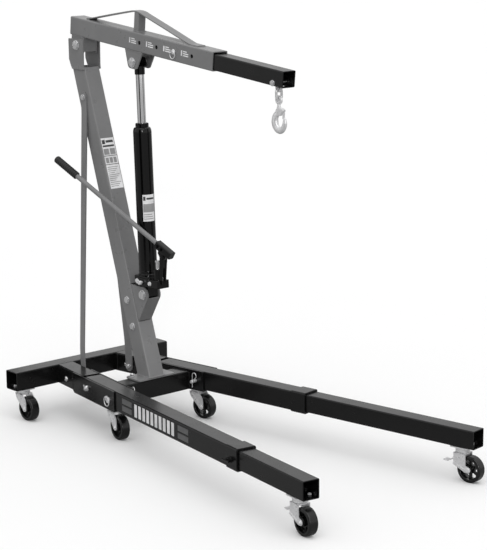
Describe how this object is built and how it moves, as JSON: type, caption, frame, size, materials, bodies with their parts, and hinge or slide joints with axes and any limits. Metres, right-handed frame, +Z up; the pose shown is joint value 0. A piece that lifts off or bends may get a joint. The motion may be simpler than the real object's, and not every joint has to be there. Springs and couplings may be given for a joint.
{
  "type": "engine hoist crane",
  "caption": "Folding shop crane with splayed caster legs, leaning post, long-ram hand jack and a telescopic boom carrying a chain hook",
  "frame": {"origin": "on the floor, at the middle of the crane's bounding box", "axes": "+Z up, +X forward along the boom and legs, +Y to the crane's left"},
  "size_m": [1.5284, 0.7384, 1.3639],
  "materials": {
    "black_paint": "satin black powder coat",
    "grey_paint": "satin mid-grey powder coat",
    "zinc": "bright zinc plate",
    "chrome": "hard chrome",
    "gloss_black": "gloss black enamel",
    "wheel_black": "moulded black",
    "grip_rubber": "ribbed black rubber"
  },
  "bodies": {
    "base": {"base_frame": "black_paint", "post": "grey_paint", "support_bar_right": "grey_paint", "support_bar_left": "grey_paint", "support_bar_top_bolt": "zinc", "support_bar_foot_bolt_right": "zinc", "support_bar_foot_bolt_left": "zinc", "jack_bracket": "grey_paint", "bracket_bolt_upper": "zinc", "bracket_bolt_lower": "zinc", "jack_foot_bolt": "zinc", "boom_pivot_bolt": "zinc", "leg_pivot_bolt_right": "zinc", "leg_pivot_bolt_left": "zinc", "rear_caster_right_plate": "zinc", "rear_caster_left_plate": "zinc", "mid_caster_right_plate": "zinc", "mid_caster_left_plate": "zinc"},
    "boom": {"boom": "grey_paint"},
    "boom_extension": {"boom_extension": "black_paint", "hook_bolt": "zinc"},
    "boom_pin": {"boom_pin": "zinc"},
    "chain_link_upper": {"chain_link_upper": "zinc"},
    "chain_link_lower": {"chain_link_lower": "zinc"},
    "hook": {"hook": "zinc"},
    "hook_latch": {"hook_latch": "zinc"},
    "jack": {"jack_cylinder": "gloss_black", "gland_nut": "gloss_black"},
    "ram": {"ram": "chrome"},
    "pump_handle": {"pump_socket": "gloss_black", "pump_handle": "grey_paint", "handle_grip": "grip_rubber"},
    "pump_plunger": {"pump_plunger": "chrome"},
    "release_valve": {"release_valve": "zinc"},
    "leg_right": {"leg_right": "black_paint"},
    "leg_extension_right": {"leg_extension_right": "black_paint", "front_caster_right_plate": "zinc"},
    "lock_pin_right": {"leg_lock_pin_right": "zinc"},
    "lock_clip_right": {"leg_lock_clip_right": "zinc"},
    "extension_knob_right": {"extension_knob_right": "black_paint"},
    "leg_left": {"leg_left": "black_paint"},
    "leg_extension_left": {"leg_extension_left": "black_paint", "front_caster_left_plate": "zinc"},
    "lock_pin_left": {"leg_lock_pin_left": "zinc"},
    "lock_clip_left": {"leg_lock_clip_left": "zinc"},
    "extension_knob_left": {"extension_knob_left": "black_paint"},
    "rear_caster_right_fork": {"rear_caster_right_fork": "zinc"},
    "rear_caster_right_wheel": {"rear_caster_right_wheel": "wheel_black"},
    "rear_caster_left_fork": {"rear_caster_left_fork": "zinc"},
    "rear_caster_left_wheel": {"rear_caster_left_wheel": "wheel_black"},
    "mid_caster_right_fork": {"mid_caster_right_fork": "zinc"},
    "mid_caster_right_wheel": {"mid_caster_right_wheel": "wheel_black"},
    "mid_caster_left_fork": {"mid_caster_left_fork": "zinc"},
    "mid_caster_left_wheel": {"mid_caster_left_wheel": "wheel_black"},
    "front_caster_right_fork": {"front_caster_right_fork": "zinc"},
    "front_caster_right_wheel": {"front_caster_right_wheel": "wheel_black"},
    "brake_pedal_right": {"brake_pedal_right": "zinc"},
    "front_caster_left_fork": {"front_caster_left_fork": "zinc"},
    "front_caster_left_wheel": {"front_caster_left_wheel": "wheel_black"},
    "brake_pedal_left": {"brake_pedal_left": "zinc"}
  },
  "joints": [
    {"name": "boom_lift", "type": "hinge", "parent": "base", "child": "boom", "pos_m": [-0.7112, 0, 1.238], "axis": [0, -1, 0], "range_deg": [-20, 35]},
    {"name": "boom_extension_slide", "type": "slide", "parent": "boom", "child": "boom_extension", "axis": [0.9952, 0, -0.0976], "range_m": [-0.174, 0.087]},
    {"name": "boom_pin_pull", "type": "slide", "parent": "boom", "child": "boom_pin", "axis": [0, -1, 0], "range_m": [0, 0.075]},
    {"name": "chain_upper_swing", "type": "hinge", "parent": "boom_extension", "child": "chain_link_upper", "pos_m": [0.24427, 0, 1.185], "axis": [0, 1, 0], "range_deg": [-20, 20]},
    {"name": "chain_lower_swing", "type": "hinge", "parent": "chain_link_upper", "child": "chain_link_lower", "pos_m": [0.24427, 0, 1.1641], "axis": [0, 1, 0], "range_deg": [-20, 20]},
    {"name": "hook_swing", "type": "hinge", "parent": "chain_link_lower", "child": "hook", "pos_m": [0.24427, 0, 1.1383], "axis": [0, 1, 0], "range_deg": [-12, 12]},
    {"name": "hook_latch_open", "type": "hinge", "parent": "hook", "child": "hook_latch", "pos_m": [0.26577, 0, 1.0983], "axis": [0, 1, 0], "range_deg": [0, 20]},
    {"name": "jack_swing", "type": "hinge", "parent": "base", "child": "jack", "pos_m": [-0.3892, 0, 0.444], "axis": [0, -1, 0], "range_deg": [0, 3.5]},
    {"name": "ram_slide", "type": "slide", "parent": "jack", "child": "ram", "axis": [-0.0397, 0, 0.9992], "range_m": [-0.105, 0.185]},
    {"name": "pump_handle_stroke", "type": "hinge", "parent": "jack", "child": "pump_handle", "pos_m": [-0.2842, -0.0215, 0.583], "axis": [-0.2079, 0.9781, 0], "range_deg": [-45, 25]},
    {"name": "pump_plunger_stroke", "type": "slide", "parent": "jack", "child": "pump_plunger", "axis": [-0.0397, 0, 0.9992], "range_m": [-0.025, 0.012]},
    {"name": "release_valve_turn", "type": "hinge", "parent": "jack", "child": "release_valve", "pos_m": [-0.37108, -0.0445, 0.49176], "axis": [0, -1, 0], "range_deg": [0, 360]},
    {"name": "leg_fold_right", "type": "hinge", "parent": "base", "child": "leg_right", "pos_m": [-0.48271, -0.15416, 0.138], "axis": [-0.1507, -0.9886, 0], "range_deg": [0, 90]},
    {"name": "leg_slide_right", "type": "slide", "parent": "leg_right", "child": "leg_extension_right", "axis": [0.9886, -0.1507, 0], "range_m": [-0.18, 0]},
    {"name": "lock_pin_pull_right", "type": "slide", "parent": "base", "child": "lock_pin_right", "axis": [-0.1507, -0.9886, 0], "range_m": [0, 0.095]},
    {"name": "lock_clip_pull_right", "type": "slide", "parent": "base", "child": "lock_clip_right", "axis": [0, 0, 1], "range_m": [0, 0.04]},
    {"name": "extension_knob_turn_right", "type": "hinge", "parent": "leg_right", "child": "extension_knob_right", "pos_m": [0.38408, -0.32073, 0.133], "axis": [-0.1507, -0.9886, 0], "range_deg": [-360, 0]},
    {"name": "leg_fold_left", "type": "hinge", "parent": "base", "child": "leg_left", "pos_m": [-0.48271, 0.15416, 0.138], "axis": [0.1507, -0.9886, 0], "range_deg": [0, 90]},
    {"name": "leg_slide_left", "type": "slide", "parent": "leg_left", "child": "leg_extension_left", "axis": [0.9886, 0.1507, 0], "range_m": [-0.18, 0]},
    {"name": "lock_pin_pull_left", "type": "slide", "parent": "base", "child": "lock_pin_left", "axis": [-0.1507, 0.9886, 0], "range_m": [0, 0.095]},
    {"name": "lock_clip_pull_left", "type": "slide", "parent": "base", "child": "lock_clip_left", "axis": [0, 0, 1], "range_m": [0, 0.04]},
    {"name": "extension_knob_turn_left", "type": "hinge", "parent": "leg_left", "child": "extension_knob_left", "pos_m": [0.08356, 0.2749, 0.133], "axis": [-0.1507, 0.9886, 0], "range_deg": [-360, 0]},
    {"name": "rear_caster_right_swivel", "type": "hinge", "parent": "base", "child": "rear_caster_right_fork", "pos_m": [-0.7322, -0.274, 0.0895], "axis": [0, 0, 1], "continuous": true},
    {"name": "rear_caster_right_spin", "type": "hinge", "parent": "rear_caster_right_fork", "child": "rear_caster_right_wheel", "pos_m": [-0.7022, -0.274, 0.041], "axis": [0, 1, 0], "continuous": true},
    {"name": "rear_caster_left_swivel", "type": "hinge", "parent": "base", "child": "rear_caster_left_fork", "pos_m": [-0.7322, 0.274, 0.0895], "axis": [0, 0, 1], "continuous": true},
    {"name": "rear_caster_left_spin", "type": "hinge", "parent": "rear_caster_left_fork", "child": "rear_caster_left_wheel", "pos_m": [-0.7022, 0.274, 0.041], "axis": [0, 1, 0], "continuous": true},
    {"name": "mid_caster_right_swivel", "type": "hinge", "parent": "base", "child": "mid_caster_right_fork", "pos_m": [-0.35519, -0.17361, 0.0895], "axis": [0, 0, 1], "continuous": true},
    {"name": "mid_caster_right_spin", "type": "hinge", "parent": "mid_caster_right_fork", "child": "mid_caster_right_wheel", "pos_m": [-0.32553, -0.17813, 0.041], "axis": [0.1507, 0.9886, 0], "continuous": true},
    {"name": "mid_caster_left_swivel", "type": "hinge", "parent": "base", "child": "mid_caster_left_fork", "pos_m": [-0.35519, 0.17361, 0.0895], "axis": [0, 0, 1], "continuous": true},
    {"name": "mid_caster_left_spin", "type": "hinge", "parent": "mid_caster_left_fork", "child": "mid_caster_left_wheel", "pos_m": [-0.32553, 0.17813, 0.041], "axis": [-0.1507, 0.9886, 0], "continuous": true},
    {"name": "front_caster_right_swivel", "type": "hinge", "parent": "leg_extension_right", "child": "front_caster_right_fork", "pos_m": [0.6927, -0.3334, 0.0895], "axis": [0, 0, 1], "continuous": true},
    {"name": "front_caster_right_spin", "type": "hinge", "parent": "front_caster_right_fork", "child": "front_caster_right_wheel", "pos_m": [0.72236, -0.33792, 0.041], "axis": [0.1507, 0.9886, 0], "continuous": true},
    {"name": "brake_pedal_right_press", "type": "hinge", "parent": "front_caster_right_fork", "child": "brake_pedal_right", "pos_m": [0.667, -0.32948, 0.064], "axis": [0.1507, 0.9886, 0], "range_deg": [-15, 15]},
    {"name": "front_caster_left_swivel", "type": "hinge", "parent": "leg_extension_left", "child": "front_caster_left_fork", "pos_m": [0.6927, 0.3334, 0.0895], "axis": [0, 0, 1], "continuous": true},
    {"name": "front_caster_left_spin", "type": "hinge", "parent": "front_caster_left_fork", "child": "front_caster_left_wheel", "pos_m": [0.72236, 0.33792, 0.041], "axis": [-0.1507, 0.9886, 0], "continuous": true},
    {"name": "brake_pedal_left_press", "type": "hinge", "parent": "front_caster_left_fork", "child": "brake_pedal_left", "pos_m": [0.667, 0.32948, 0.064], "axis": [-0.1507, 0.9886, 0], "range_deg": [-15, 15]}
  ],
  "couplings": [
    {"joint": "ram_slide", "follows": "boom_lift", "m_per_rad": 0.28},
    {"joint": "pump_plunger_stroke", "follows": "pump_handle_stroke", "m_per_rad": 0.026}
  ]
}
